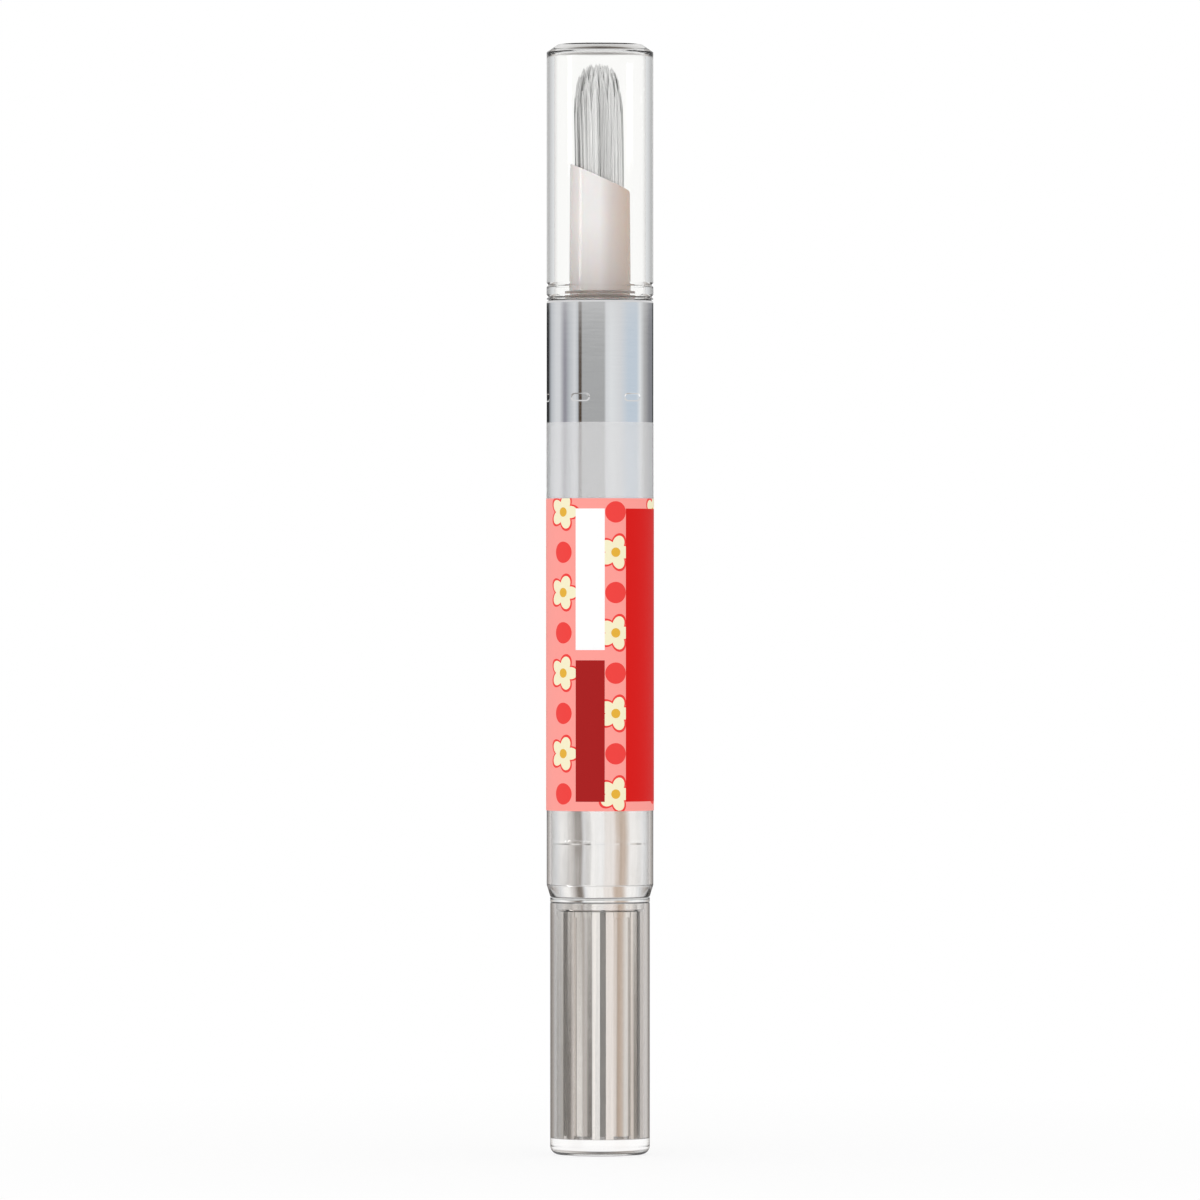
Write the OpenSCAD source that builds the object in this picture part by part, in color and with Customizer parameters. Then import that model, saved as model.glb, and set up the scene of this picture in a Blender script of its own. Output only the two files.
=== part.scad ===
// Twist-up nail oil pen: a clear snap cap over a slant-cut brush, a crimped metal collar,
// a clear barrel with a piston, and a clear twist knob that drives the piston by a screw.
// The pen stands on the flat end of its knob, with its axis along Z. All lengths are in mm.

/* [Barrel] */
// Outside diameter of barrel, collar and cap
body_d = 12.5; // [11.9:0.1:14]
// Wall of the barrel round the oil chamber
barrel_wall = 0.5; // [0.4:0.05:0.8]
// Wall of the spigot that the collar is crimped onto
spigot_wall = 0.9; // [0.7:0.05:1.1]

/* [Collar] */
// Length of the metal collar
collar_h = 24.3; // [24:0.1:28]
// Wall of the collar
collar_wall = 0.5; // [0.4:0.05:0.6]
// Length of the collar that stands above the spigot, round the neck of the brush
neck_h = 8.1; // [7.9:0.1:9]
// Distance of the crimp dimples from the upper edge of the collar
crimp_drop = 11.5; // [10:0.5:13]
// Number of crimp dimples round the collar
crimps = 6; // [4:1:8]
// Depth of a crimp dimple
crimp_depth = 0.2; // [0.1:0.05:0.3]
// Width of a crimp dimple, round the collar
crimp_w = 2.4; // [1.8:0.1:3]
// Height of a crimp dimple
crimp_h = 0.8; // [0.6:0.05:1.1]
// Turn of the first dimple from the front
crimp_turn = -22; // [-30:1:30]

/* [Label] */
// Height of the lower edge of the label above the barrel's lower end
label_z = 8.7; // [8:0.1:9.5]
// Length of the label that laps over the collar
label_lap = 9.9; // [8:0.1:11]
// Thickness of the film
label_t = 0.05; // [0.04:0.01:0.1]

/* [Cap] */
// Room between the tip of the brush and the cap's end
tip_room = 0.7; // [0.3:0.1:3]
// Wall of the cap
cap_wall = 0.9; // [0.8:0.05:1]
// Thickness of the cap's flat top
cap_top = 1.1; // [0.9:0.1:1.2]
// Width of the chamfer round the top
cap_chamfer_w = 1.3; // [0.8:0.1:1.5]
// Height of the chamfer round the top
cap_chamfer_h = 0.9; // [0.5:0.1:0.9]
// Length of the skirt that enters the collar
skirt_h = 5.6; // [5:0.1:6]
// Wall of the skirt
skirt_wall = 0.6; // [0.4:0.05:0.65]
// Radius of the two grooves round the cap's foot
groove_r = 0.24; // [0.15:0.01:0.3]

/* [Brush] */
// Diameter of the ferrule at its foot
ferrule_d = 7.2; // [7:0.05:7.4]
// Diameter of the ferrule at its mouth
ferrule_mouth_d = 6.96; // [6.9:0.02:7]
// Length of the ferrule on its long side, above its flange
ferrule_h = 14.95; // [13:0.1:17]
// Slope of the slanted mouth
slant = 25; // [10:0.2:30]
// Bore of the ferrule
ferrule_bore = 5.9; // [5.7:0.02:5.96]
// Diameter of the ferrule's flange
flange_d = 8.26; // [7.8:0.02:8.8]
// Length of the bristles that shows past the long side of the ferrule
tuft_out = 12.15; // [10:0.05:12.4]
// Distance between neighbouring bristles
bristle_gap = 0.27; // [0.26:0.005:0.29]
// Radius of one bristle at its root
bristle_r = 0.1; // [0.07:0.01:0.12]
// Drop of the domed tip from the middle to the rim of the tuft
dome_drop = 4.7; // [3:0.1:6]

/* [Knob] */
// Outside diameter of the knob
knob_d = 11.66; // [11.4:0.02:12]
// Length of the knob
knob_h = 29.5; // [28.5:0.5:32]
// Wall of the knob
knob_wall = 0.6; // [0.5:0.05:0.75]
// Thickness of the knob's end
knob_floor = 1.9; // [1.3:0.1:2.2]
// Rounding of the knob's lower edge
knob_edge_r = 1; // [0.6:0.1:1.2]
// Number of spline rib pairs between the knob and its drive sleeve
ribs = 7; // [4:1:8]
// Turn of the first rib pair from the front
rib_turn = 3.6; // [-20:0.2:20]
// Width of a rib pair
rib_w = 2.4; // [2.1:0.05:2.8]
// Width of the slot in the middle of a rib pair
slot_w = 0.66; // [0.5:0.01:0.8]
// Depth of the slot, from the top of its ribs
slot_depth = 0.7; // [0.5:0.05:0.9]
// Height of the ribs above the sleeve
rib_t = 0.3; // [0.2:0.05:0.4]

/* [Drive] */
// Diameter of the screw
screw_d = 3.4; // [3.2:0.05:3.6]
// Width across the two flats of the screw
screw_flats = 2.6; // [2.4:0.05:2.8]
// Travel of the piston, which sets the barrel's length
stroke = 27; // [20:0.5:28]
// Length of the piston
piston_h = 6.6; // [6:0.1:7]
// Number of ratchet teeth
teeth = 18; // [12:1:24]
// Depth of a ratchet tooth
tooth_h = 0.35; // [0.2:0.05:0.45]
// Diameter of the drive sleeve's stem
stem_d = 6.4; // [6.2:0.1:6.6]

/* [Hidden] */
$fn = 96;

// Clearances: a sliding fit, a running fit, a press fit and the overrun of every cut
slide_gap = 0.05;
running_gap = 0.1;
press_gap = 0.02;
cut = 0.5;

// The front of the pen faces -Y
front = -90;

// Radii of the barrel, from the outside in
body_r = body_d / 2;
bore_r = body_r - barrel_wall;
collar_in_r = body_r - collar_wall;
spigot_r = collar_in_r - slide_gap;
spigot_bore_r = spigot_r - spigot_wall;

// Knob and its splined sleeve
knob_r = knob_d / 2;
knob_in_r = knob_r - knob_wall;
rib_r = knob_in_r - slide_gap;
sleeve_r = rib_r - rib_t;
sleeve_bore_r = 2.4;
sleeve_lift = 0.4;
slot_floor_r = rib_r - slot_depth;
rib_foot_z = knob_floor;
knob_bead_r = 0.2;
knob_bead_drop = 0.35;
sleeve_top_drop = 0.8;

// Journal: the neck of the ratchet housing, which the knob's mouth snaps onto and turns on
journal_r = knob_in_r - running_gap;
journal_in = 0.9;
journal_z = knob_h - journal_in;
journal_lead = 0.15;
journal_gap = 0.1;
rib_top_z = journal_z - running_gap;
sleeve_top_z = rib_top_z - sleeve_top_drop;
stem_r = stem_d / 2;
stem_flats = 5.8;
key_z = knob_h + running_gap;

// Thrust washer with a rounded rim, and conical end ring pressed onto the journal
washer_h = 0.6;
washer_z = knob_h + slide_gap;
ring_z = washer_z + washer_h + slide_gap;
ring_h = 1.4;
ring_lip_h = 0.12;
barrel_z = ring_z + ring_h;

// Ratchet housing, open upwards, and the nut that closes it
housing_floor = 1;
floor_z = barrel_z + housing_floor;
housing_r = bore_r - slide_gap;
ratchet_wall = 0.85;
ratchet_h = 3.2;
nut_h = 4.4;
nut_foot_h = 1.6;
nut_seat_wall = 0.45;
nut_r = housing_r - nut_seat_wall - press_gap;
nut_flats_in = 0.3;
nut_flats = 2 * (nut_r - nut_flats_in);
nut_boss_r = 3;
nut_z = floor_z + ratchet_h;
housing_top_z = nut_z + nut_h + running_gap;
housing_bead_r = 0.35;
housing_bead_up = 5;
housing_bead_z = barrel_z + housing_bead_up;
housing_bead_in = 0.25;
ratchet_root_r = housing_r - ratchet_wall;
ratchet_crest_r = ratchet_root_r - tooth_h;
stem_top_z = floor_z + ratchet_h - 2 * running_gap;

// Pawl ring on the stem, with arms that end just inside the ratchet's crests
pawls = 2;
pawl_h = 2;
pawl_z = floor_z + slide_gap;
pawl_tip_r = ratchet_crest_r - slide_gap;
pawl_hub_wall = 0.4;
pawl_arm_t = 0.3;
pawl_arm_span = 110;
pawl_tip_span = 12;
pawl_root_span = 24;

// Screw
screw_r = screw_d / 2;
screw_lift = 2.2;
screw_z = knob_floor + screw_lift;
screw_head_h = 1.1;
screw_neck_h = 0.8;
screw_neck_r = 1.2;
screw_in_core = 3.45;

// Piston: a hard core on the screw's head inside a soft seal
piston_lift = 0.3;
piston_z = housing_top_z + piston_lift;
piston_waist = 0.33;
lip_h = 0.8;
lip_taper = 0.4;
core_r = 3.8;
core_flange = 0.8;
core_flange_h = 0.8;
core_top = 1.2;
core_z = piston_z + slide_gap;
core_h = piston_h - core_top - slide_gap;
screw_top_z = core_z + screw_in_core;
screw_neck_z = screw_top_z - screw_head_h - screw_neck_h;

// Barrel heights
piston_end_gap = 0.8;
shoulder_h = 0.8;
spigot_h = collar_h - neck_h;
chamber_z = piston_z + piston_h + stroke + piston_end_gap;
shoulder_z = chamber_z + shoulder_h;
spigot_top_z = shoulder_z + spigot_h;
collar_top_z = shoulder_z + collar_h;
crimp_groove_depth = 0.2;
crimp_groove_h = 1.2;
bump_h = 0.6;
bump_proud = 0.14;

// Neck plug between the barrel and the brush, with its O-ring
plug_r = spigot_bore_r - press_gap;
plug_h = 8;
plug_z = spigot_top_z - plug_h;
plug_flange_h = 1;
funnel_r = 3.4;
funnel_h = 4.5;
seal_z = plug_z + 3;
seal_groove_h = 1.2;
seal_groove_r = spigot_bore_r - 0.87;
seal_r = (spigot_bore_r - seal_groove_r) / 2 - press_gap / 2;
socket_h = 5.5;
neck_bead_r = 0.4;
neck_bead_drop = 3;

// Ferrule
ferrule_r = ferrule_d / 2;
ferrule_mouth_r = ferrule_mouth_d / 2;
ferrule_bore_r = ferrule_bore / 2;
flange_h = 1;
flange_r = flange_d / 2;
ferrule_spigot_r = 3.4;
ferrule_foot_z = collar_top_z - socket_h + running_gap;
ferrule_floor = 4.3;
ferrule_z = collar_top_z + flange_h;
mouth_z = ferrule_z + ferrule_h;
lip_r = 0.2;

// Feed tube
feed_r = 0.85;
feed_bore_r = 0.55;
feed_z = spigot_top_z + plug_flange_h / 2;
feed_past = 1.5;
feed_top_z = mouth_z + feed_past;
feed_hole_r = feed_r + press_gap;

// Bristles: a hexagonal lattice of straight strands on a thin slice of resin
root_z = ferrule_foot_z + ferrule_floor;
root_h = 5;
tuft_z = root_z + root_h;
slice_h = 0.6;
tuft_tip_z = mouth_z + tuft_out;
cell_r = bristle_gap / sqrt(3);
tuft_r = ferrule_bore_r - slide_gap - cell_r;
tuft_hole_r = feed_hole_r + cell_r;
tuft_lean_share = 0.95;
tip_share = 0.7;
dome_power = 5;
tip_scatter = 0.25;
scatter_seed = 7;

// Cap
cap_z = collar_top_z + slide_gap;
cap_top_z = tuft_tip_z + tip_room + cap_top;
cap_in_r = body_r - cap_wall;
skirt_gap = 0.2;
skirt_r = collar_in_r - skirt_gap;
skirt_in_r = skirt_r - skirt_wall;
skirt_z = collar_top_z - skirt_h;
cap_step_h = 1.1;
cap_step_taper = 1;
cap_inner_fillet = 0.6;
grooves_z = [0.35, 1.75];
neck_gap = 0.35;
neck_r = skirt_in_r - neck_gap;

// A point at a radius and an angle
function polar(r, a) = [r * cos(a), r * sin(a)];

module tube(r_out, r_in, h) {
  difference() {
    cylinder(r = r_out, h = h);
    translate([0, 0, -cut]) cylinder(r = r_in, h = h + 2 * cut);
  }
}

module bead(r_line, r_wire, z) {
  translate([0, 0, z]) rotate_extrude() translate([r_line, 0]) circle(r_wire, $fn = 48);
}

// A round bar with two flats, facing +Y and -Y
module flatted(r, across, h) {
  intersection() {
    cylinder(r = r, h = h);
    translate([-r - cut, -across / 2, -cut]) cube([2 * (r + cut), across, h + 2 * cut]);
  }
}

// Copies its children at even angles, the first one turned from the front
module around(count, turn) {
  for (i = [0 : count - 1])
    rotate([0, 0, front + turn + i * 360 / count]) children();
}

// Part of a flat ring, from one angle to another
module arc_band(r_in, r_out, from_a, span, h) {
  rotate([0, 0, from_a]) rotate_extrude(angle = span) translate([r_in, 0]) square([r_out - r_in, h]);
}

module knob_shell() {
  color([0.9, 0.92, 0.93, 0.45]) union() {
    difference() {
      rotate_extrude() union() {
        square([knob_r - knob_edge_r, knob_h]);
        translate([0, knob_edge_r]) square([knob_r, knob_h - knob_edge_r]);
        translate([knob_r - knob_edge_r, knob_edge_r]) circle(knob_edge_r);
      }
      translate([0, 0, knob_floor]) cylinder(r = knob_in_r, h = knob_h);
    }
    bead(knob_in_r, knob_bead_r, knob_h - knob_bead_drop);
    around(ribs, rib_turn) shell_key();
  }
}

// A thin key on the knob's inner wall that fills the slot of one rib pair
module shell_key() {
  key_w = slot_w - 2 * slide_gap;
  key_r = slot_floor_r + slide_gap;
  translate([key_r, -key_w / 2, knob_floor - cut])
    cube([knob_in_r + knob_wall / 2 - key_r, key_w, rib_top_z - knob_floor + cut]);
}

module drive_sleeve() {
  color([0.86, 0.85, 0.84]) difference() {
    union() {
      cylinder_between(sleeve_r, rib_foot_z + sleeve_lift, sleeve_top_z);
      around(ribs, rib_turn) rib_pair();
      cylinder_between(stem_r, sleeve_top_z - cut, pawl_z - slide_gap);
      translate([0, 0, sleeve_top_z - cut]) flatted(stem_r, stem_flats, stem_top_z - sleeve_top_z + cut);
    }
    around(ribs, rib_turn) translate([slot_floor_r, -slot_w / 2, rib_foot_z - cut])
      cube([slot_depth + cut, slot_w, rib_top_z - rib_foot_z + 2 * cut]);
    cylinder_between(sleeve_bore_r, rib_foot_z - cut, key_z);
    translate([0, 0, key_z - cut])
      flatted(screw_r + slide_gap, screw_flats + 2 * slide_gap, stem_top_z - key_z + 2 * cut);
  }
}

module cylinder_between(r, z0, z1) {
  translate([0, 0, z0]) cylinder(r = r, h = z1 - z0);
}

// A flat spline rib, which the key's slot cuts into a pair
module rib_pair() {
  inner_r = sleeve_r - rib_t;
  intersection() {
    translate([inner_r, -rib_w / 2, rib_foot_z])
      cube([rib_r - inner_r + cut, rib_w, rib_top_z - rib_foot_z]);
    cylinder_between(rib_r, rib_foot_z - cut, rib_top_z + cut);
  }
}

module thrust_washer() {
  rim_r = washer_h / 2;
  color([0.8, 0.8, 0.81]) translate([0, 0, washer_z]) difference() {
    rotate_extrude() union() {
      square([knob_r - rim_r, washer_h]);
      translate([knob_r - rim_r, rim_r]) circle(rim_r, $fn = 48);
    }
    cylinder_between(journal_r + slide_gap, -cut, washer_h + cut);
  }
}

module end_ring() {
  color([0.78, 0.78, 0.79]) difference() {
    union() {
      translate([0, 0, ring_z]) cylinder(r1 = knob_r, r2 = body_r, h = ring_h - ring_lip_h);
      cylinder_between(body_r, barrel_z - ring_lip_h, barrel_z);
    }
    cylinder_between(journal_r + press_gap, ring_z - cut, barrel_z + cut);
  }
}

module pawl_ring() {
  hub_in_r = stem_r + press_gap;
  hub_r = hub_in_r + pawl_hub_wall;
  arm_r = pawl_tip_r - pawl_arm_t;
  color([0.93, 0.93, 0.91]) translate([0, 0, pawl_z]) union() {
    difference() {
      cylinder(r = hub_r, h = pawl_h);
      translate([0, 0, -cut]) flatted(hub_in_r, stem_flats + 2 * press_gap, pawl_h + 2 * cut);
    }
    around(pawls, 0) {
      arc_band(hub_r - pawl_hub_wall / 2, arm_r, 0, pawl_root_span, pawl_h);
      arc_band(arm_r - pawl_arm_t, arm_r, 0, pawl_arm_span, pawl_h);
      arc_band(arm_r - pawl_arm_t / 2, pawl_tip_r, pawl_arm_span - pawl_tip_span, pawl_tip_span, pawl_h);
    }
  }
}

// Saw-tooth outline: each ramp climbs to a crest and drops straight back to the root
module ratchet_outline() {
  step = 360 / teeth;
  polygon([for (i = [0 : teeth - 1]) each [
    polar(ratchet_root_r, i * step),
    polar(ratchet_crest_r / cos(step / 2), (i + 1) * step)
  ]]);
}

module ratchet_housing() {
  snap_z = knob_h - knob_bead_drop;
  color([0.78, 0.78, 0.79]) difference() {
    union() {
      translate([0, 0, journal_z]) cylinder(r1 = journal_r - journal_lead, r2 = journal_r, h = journal_lead);
      cylinder_between(journal_r, journal_z + journal_lead, barrel_z + cut);
      cylinder_between(housing_r, barrel_z, housing_top_z);
      bead(housing_r - housing_bead_in, housing_bead_r, housing_bead_z);
    }
    bead(knob_in_r, knob_bead_r + slide_gap, snap_z);
    cylinder_between(stem_r + journal_gap, journal_z - cut, floor_z + cut);
    translate([0, 0, floor_z]) linear_extrude(ratchet_h + cut) ratchet_outline();
    translate([0, 0, nut_z])
      flatted(nut_r + press_gap, nut_flats + 2 * press_gap, nut_foot_h);
    cylinder_between(nut_r + press_gap, nut_z + nut_foot_h, housing_top_z + cut);
  }
}

module drive_nut() {
  color([0.2, 0.45, 0.7]) translate([0, 0, nut_z]) difference() {
    union() {
      flatted(nut_r, nut_flats, nut_foot_h);
      cylinder(r = nut_boss_r, h = nut_h);
    }
    translate([0, 0, -cut]) cylinder(r = screw_r + slide_gap, h = nut_h + 2 * cut);
  }
}

// The thread itself is fine texture inside this bar
module screw_shaft() {
  color([0.88, 0.88, 0.86]) union() {
    translate([0, 0, screw_z]) flatted(screw_r, screw_flats, screw_neck_z - screw_z);
    cylinder_between(screw_neck_r, screw_neck_z - cut, screw_top_z - cut);
    cylinder_between(screw_r, screw_top_z - screw_head_h, screw_top_z);
  }
}

module piston_core() {
  socket_r = screw_r + running_gap;
  lip_bore_r = screw_neck_r + running_gap;
  lip_z = screw_neck_z + running_gap;
  head_z = screw_top_z - screw_head_h - running_gap;
  color([0.8, 0.82, 0.84]) difference() {
    union() {
      cylinder_between(core_r, core_z, core_z + core_h);
      cylinder_between(core_r + core_flange, core_z, core_z + core_flange_h);
    }
    cylinder_between(socket_r, core_z - cut, lip_z);
    cylinder_between(lip_bore_r, core_z, head_z + cut);
    cylinder_between(socket_r, head_z, screw_top_z + running_gap);
  }
}

module piston_seal() {
  lip_out_r = bore_r - press_gap;
  waist_r = lip_out_r - piston_waist;
  top_r = waist_r - piston_waist;
  color([0.95, 0.95, 0.95]) translate([0, 0, piston_z]) difference() {
    rotate_extrude() polygon([
      [0, 0],
      [waist_r, 0],
      [lip_out_r, lip_taper],
      [lip_out_r, lip_taper + lip_h],
      [waist_r, 2 * lip_taper + lip_h],
      [waist_r, piston_h - 3 * lip_taper - lip_h],
      [lip_out_r, piston_h - 2 * lip_taper - lip_h],
      [lip_out_r, piston_h - 2 * lip_taper],
      [top_r, piston_h],
      [0, piston_h]
    ]);
    cylinder_between(core_r + slide_gap, -cut, core_h + 2 * slide_gap);
    cylinder_between(core_r + core_flange + slide_gap, -cut, core_flange_h + 2 * slide_gap);
  }
}

module barrel() {
  color([0.92, 0.95, 0.96, 0.45]) difference() {
    union() {
      cylinder_between(body_r, barrel_z, shoulder_z);
      cylinder_between(spigot_r, shoulder_z - cut, spigot_top_z);
    }
    cylinder_between(bore_r, barrel_z - cut, chamber_z);
    translate([0, 0, chamber_z]) cylinder(r1 = bore_r, r2 = spigot_bore_r, h = bore_r - spigot_bore_r);
    cylinder_between(spigot_bore_r, chamber_z, spigot_top_z + cut);
    bead(housing_r - housing_bead_in, housing_bead_r + slide_gap, housing_bead_z);
    translate([0, 0, collar_top_z - crimp_drop - crimp_groove_h / 2])
      tube(spigot_r + cut, spigot_r - crimp_groove_depth, crimp_groove_h);
  }
}

module wrap_label() {
  label_foot_z = barrel_z + label_z;
  color([1, 0.63, 0.6]) translate([0, 0, label_foot_z])
    tube(body_r + press_gap + label_t, body_r + press_gap, shoulder_z + label_lap - label_foot_z);
}

// A pill-shaped patch of a tube's wall, as one stroke of the crimping tool leaves it
module crimp_patch(r_in, r_out, w, h) {
  intersection() {
    tube(r_out, r_in, h);
    translate([0, 0, h / 2]) rotate([90, 0, 90]) linear_extrude(r_out + cut) union() {
      square([w - h, h], center = true);
      translate([(w - h) / 2, 0]) circle(h / 2, $fn = 48);
      translate([(h - w) / 2, 0]) circle(h / 2, $fn = 48);
    }
  }
}

module collar() {
  dimple_z = collar_top_z - crimp_drop;
  color([0.78, 0.79, 0.81]) difference() {
    union() {
      translate([0, 0, shoulder_z]) tube(body_r, collar_in_r, collar_h);
      translate([0, 0, dimple_z - bump_h / 2]) around(crimps, crimp_turn)
        crimp_patch(collar_in_r - bump_proud, body_r - collar_wall / 2, crimp_w - crimp_h + bump_h, bump_h);
    }
    translate([0, 0, dimple_z - crimp_h / 2]) around(crimps, crimp_turn)
      crimp_patch(body_r - crimp_depth, body_r + cut, crimp_w, crimp_h);
  }
}

module neck_plug() {
  flange_top_z = spigot_top_z + plug_flange_h;
  color([0.93, 0.93, 0.93]) difference() {
    union() {
      cylinder_between(plug_r, plug_z, spigot_top_z);
      cylinder_between(collar_in_r - running_gap, spigot_top_z, flange_top_z);
      cylinder_between(neck_r, flange_top_z - cut, collar_top_z);
      bead(skirt_in_r - slide_gap - neck_bead_r, neck_bead_r, collar_top_z - neck_bead_drop);
    }
    translate([0, 0, seal_z - seal_groove_h / 2]) tube(spigot_bore_r + cut, seal_groove_r, seal_groove_h);
    translate([0, 0, plug_z - cut]) cylinder(r = funnel_r, h = cut);
    translate([0, 0, plug_z]) cylinder(r1 = funnel_r, r2 = feed_hole_r, h = funnel_h);
    cylinder_between(feed_hole_r, plug_z, collar_top_z);
    cylinder_between(ferrule_spigot_r + slide_gap, collar_top_z - socket_h, collar_top_z + cut);
  }
}

module neck_seal() {
  color([0.15, 0.15, 0.15]) bead((spigot_bore_r + seal_groove_r) / 2, seal_r, seal_z);
}

module brush_ferrule() {
  low_lip_z = mouth_z - (ferrule_mouth_r + ferrule_r) * tan(slant);
  color([0.91, 0.89, 0.88]) difference() {
    union() {
      cylinder_between(ferrule_spigot_r, ferrule_foot_z, ferrule_z);
      cylinder_between(flange_r, collar_top_z, ferrule_z);
      translate([0, 0, ferrule_z]) cylinder(r1 = ferrule_r, r2 = ferrule_mouth_r, h = ferrule_h);
    }
    cylinder_between(feed_hole_r, ferrule_foot_z - cut, root_z + cut);
    cylinder_between(ferrule_bore_r, root_z, mouth_z + cut);
    translate([-ferrule_mouth_r, -body_r, mouth_z]) rotate([0, slant, 0])
      cube([4 * body_r, 2 * body_r, 2 * body_r]);
    translate([ferrule_mouth_r, -body_r, low_lip_z - lip_r]) rotate([0, -45 + slant, 0])
      cube([body_r, 2 * body_r, body_r]);
  }
}

module bristle_root() {
  color([0.8, 0.74, 0.64]) translate([0, 0, root_z]) tube(ferrule_bore_r - slide_gap, feed_hole_r, root_h);
}

module feed_tube() {
  color([0.75, 0.77, 0.8]) translate([0, 0, feed_z]) tube(feed_r, feed_bore_r, feed_top_z - feed_z);
}

// Steps from one lattice cell to its six neighbours, in order round the cell
steps = [[1, 0], [0, 1], [-1, 1], [-1, 0], [0, -1], [1, -1]];

// A place on the lattice, from its steps in thirds of a cell
function lattice(p) = bristle_gap / 3 * [p[0] + p[1] / 2, p[1] * sqrt(3) / 2];
function in_tuft(c) = let (r = norm(lattice(3 * c))) r <= tuft_r && r >= tuft_hole_r;
function corner(c, k) = lattice(3 * c + steps[k % 6] + steps[(k + 1) % 6]);
function at_height(p, z) = [p[0], p[1], z];

// Points of one cell: six corners below, six above, the strand's root and its tip
function cell_points(c, scatter) =
  let (
    mid = lattice(3 * c),
    drop = dome_drop * pow(norm(mid) / tuft_r, dome_power) + scatter,
    tip = mid * tuft_lean_share
  )
  [
    for (k = [0 : 5]) at_height(corner(c, k), tuft_z),
    for (k = [0 : 5]) at_height(corner(c, k), tuft_z + slice_h),
    for (j = [0 : 2]) at_height(mid + polar(bristle_r, 30 + 120 * j), tuft_z + slice_h),
    for (j = [0 : 2]) at_height(tip + polar(bristle_r * tip_share, 30 + 120 * j), tuft_tip_z - drop)
  ];

// Triangles of one cell, numbered from its first point, with walls only at the rim of the slice
function cell_faces(c, first) =
  [for (f = concat(
    [for (k = [1 : 4]) [0, k, k + 1]],
    [for (j = [0 : 2])
      let (a = 6 + 2 * j, b = 7 + 2 * j, d = 6 + (2 * j + 2) % 6, t = 12 + j, u = 12 + (j + 1) % 3)
      each [[t, b, a], [t, u, b], [u, d, b]]],
    [for (j = [0 : 2]) let (t = 12 + j, u = 12 + (j + 1) % 3) each [[t, t + 3, u], [u, t + 3, u + 3]]],
    [[15, 17, 16]],
    [for (k = [0 : 5]) if (!in_tuft(c + steps[k]))
      let (a = (k + 5) % 6, b = k) each [[a, a + 6, b + 6], [a, b + 6, b]]]
  )) [for (v = f) v + first]];

module bristle_tuft() {
  reach = ceil(tuft_r / bristle_gap * 2);
  cells = [for (a = [-reach : reach], b = [-reach : reach]) if (in_tuft([a, b])) [a, b]];
  scatter = rands(0, tip_scatter, len(cells), scatter_seed);
  color([0.93, 0.93, 0.92]) polyhedron(
    points = [for (i = [0 : len(cells) - 1]) each cell_points(cells[i], scatter[i])],
    faces = [for (i = [0 : len(cells) - 1]) each cell_faces(cells[i], 18 * i)]
  );
}

module cap() {
  color([0.95, 0.96, 0.97, 0.35]) difference() {
    rotate_extrude() polygon([
      [skirt_in_r, skirt_z],
      [skirt_r, skirt_z],
      [skirt_r, cap_z],
      [body_r, cap_z],
      [body_r, cap_top_z - cap_chamfer_h],
      [body_r - cap_chamfer_w, cap_top_z],
      [0, cap_top_z],
      [0, cap_top_z - cap_top],
      [cap_in_r - cap_inner_fillet, cap_top_z - cap_top],
      [cap_in_r, cap_top_z - cap_top - cap_inner_fillet],
      [cap_in_r, collar_top_z + cap_step_h + cap_step_taper],
      [skirt_in_r, collar_top_z + cap_step_h]
    ]);
    for (z = grooves_z) bead(body_r, groove_r, collar_top_z + z);
  }
}

knob_shell();
drive_sleeve();
thrust_washer();
end_ring();
pawl_ring();
ratchet_housing();
drive_nut();
screw_shaft();
piston_core();
piston_seal();
barrel();
wrap_label();
collar();
neck_plug();
neck_seal();
brush_ferrule();
bristle_root();
bristle_tuft();
feed_tube();
cap();
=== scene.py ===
"""Nail oil pen: visual pieces, finishes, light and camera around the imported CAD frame.
Sizes written here are in millimetres and become metres where a mesh is made."""

import math
import random

import bmesh
import bpy
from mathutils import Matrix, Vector


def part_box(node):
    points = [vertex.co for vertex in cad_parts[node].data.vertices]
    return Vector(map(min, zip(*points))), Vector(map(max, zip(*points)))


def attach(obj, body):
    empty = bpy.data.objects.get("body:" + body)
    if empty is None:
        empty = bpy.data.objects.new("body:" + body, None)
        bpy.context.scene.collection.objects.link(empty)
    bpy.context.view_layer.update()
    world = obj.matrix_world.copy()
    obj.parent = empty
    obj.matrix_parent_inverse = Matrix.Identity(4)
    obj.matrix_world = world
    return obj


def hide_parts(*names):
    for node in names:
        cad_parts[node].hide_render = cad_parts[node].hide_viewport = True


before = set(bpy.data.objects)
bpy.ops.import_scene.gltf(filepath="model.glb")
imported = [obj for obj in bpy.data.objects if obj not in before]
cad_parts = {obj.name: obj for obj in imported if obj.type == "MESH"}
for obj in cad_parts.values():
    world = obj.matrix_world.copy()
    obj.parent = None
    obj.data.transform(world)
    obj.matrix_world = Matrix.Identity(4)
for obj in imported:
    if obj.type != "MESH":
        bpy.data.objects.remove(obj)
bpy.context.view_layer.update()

MM = 0.001

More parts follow.
